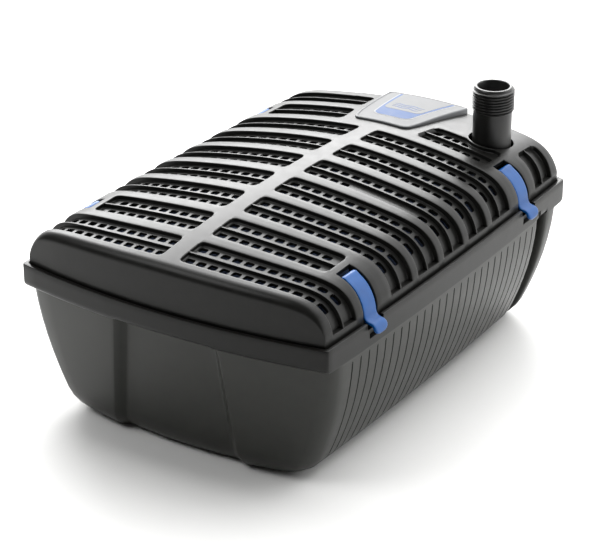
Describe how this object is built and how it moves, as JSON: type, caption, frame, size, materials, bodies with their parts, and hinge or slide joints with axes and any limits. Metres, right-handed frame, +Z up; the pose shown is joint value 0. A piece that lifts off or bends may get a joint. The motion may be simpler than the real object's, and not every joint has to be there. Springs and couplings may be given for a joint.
{
  "type": "submersible pond filter",
  "caption": "Box-shaped submersible pond filter: slotted arched lid held by side clips on a ribbed tub, foams, pump, UV clarifier and threaded outlet.",
  "frame": {"origin": "centre of the box around the filter, on the surface it stands on", "axes": "+X to the right, +Y to the rear where the outlet stands, +Z up"},
  "size_m": [0.2778, 0.3886, 0.1964],
  "materials": {
    "tub_grey": "satin dark grey moulding",
    "lid_grey": "satin grey moulding",
    "clip_blue": "semi-gloss blue moulding",
    "stub_black": "semi-gloss black moulding",
    "black_moulding": "satin black moulding",
    "white_moulding": "satin white moulding",
    "label_silver": null,
    "foam_blue": "open-cell foam",
    "foam_maroon": "fine open-cell foam",
    "media_blue": "moulded media",
    "seal_rubber": "matt rubber",
    "ceramic": "polished ceramic",
    "magnet": "coated magnet",
    "steel": "stainless steel",
    "quartz": "clear quartz",
    "lamp_glass": "lamp tube"
  },
  "bodies": {
    "tub": {"tub": "tub_grey", "partition": "black_moulding", "support_grid_front": "black_moulding", "support_grid_rear": "black_moulding", "foam_front": "foam_blue", "foam_rear": "foam_blue", "foam_fine": "foam_maroon", "bio_balls": "media_blue", "pump_housing": "black_moulding", "pump_volute": "black_moulding", "volute_screws": "steel", "volute_seal": "seal_rubber", "bearing_plate": "black_moulding", "bearing_front": "ceramic", "bearing_rear": "ceramic", "inlet_cage": "black_moulding", "pump_cradle": "black_moulding", "cradle_pads": "seal_rubber", "outlet_stub": "stub_black", "outlet_gasket": "seal_rubber", "union_nut": "black_moulding", "uvc_housing": "black_moulding", "quartz_sleeve": "quartz", "uvc_lamp": "lamp_glass", "lamp_socket": "white_moulding", "uvc_cap": "black_moulding", "uvc_seal": "seal_rubber", "uvc_saddles": "black_moulding", "cable_gland": "black_moulding", "gland_nut": "black_moulding", "gland_seal": "seal_rubber"},
    "lid": {"lid": "lid_grey", "label_plate": "label_silver", "clip_pins": "steel"},
    "rotor": {"rotor_shaft": "ceramic", "rotor_magnet": "magnet", "impeller": "white_moulding"},
    "clip_front_right": {"clip_front_right": "clip_blue"},
    "clip_front_left": {"clip_front_left": "clip_blue"},
    "clip_rear_right": {"clip_rear_right": "clip_blue"},
    "clip_rear_left": {"clip_rear_left": "clip_blue"}
  },
  "joints": [
    {"name": "lid_lift", "type": "slide", "parent": "tub", "child": "lid", "axis": [0, 0, 1], "range_m": [0, 0.12]},
    {"name": "rotor_spin", "type": "hinge", "parent": "tub", "child": "rotor", "pos_m": [0.04, 0.1205, 0.05], "axis": [1, 0, 0], "continuous": true},
    {"name": "clip_front_right_hinge", "type": "hinge", "parent": "lid", "child": "clip_front_right", "pos_m": [0.1106, -0.1215, 0.14408], "axis": [0, -1, 0], "range_deg": [0, 75]},
    {"name": "clip_front_left_hinge", "type": "hinge", "parent": "lid", "child": "clip_front_left", "pos_m": [-0.1106, -0.1215, 0.14408], "axis": [0, 1, 0], "range_deg": [0, 75]},
    {"name": "clip_rear_right_hinge", "type": "hinge", "parent": "lid", "child": "clip_rear_right", "pos_m": [0.1106, 0.1065, 0.1428], "axis": [0, -1, 0], "range_deg": [0, 75]},
    {"name": "clip_rear_left_hinge", "type": "hinge", "parent": "lid", "child": "clip_rear_left", "pos_m": [-0.1106, 0.1065, 0.1428], "axis": [0, 1, 0], "range_deg": [0, 75]}
  ]
}
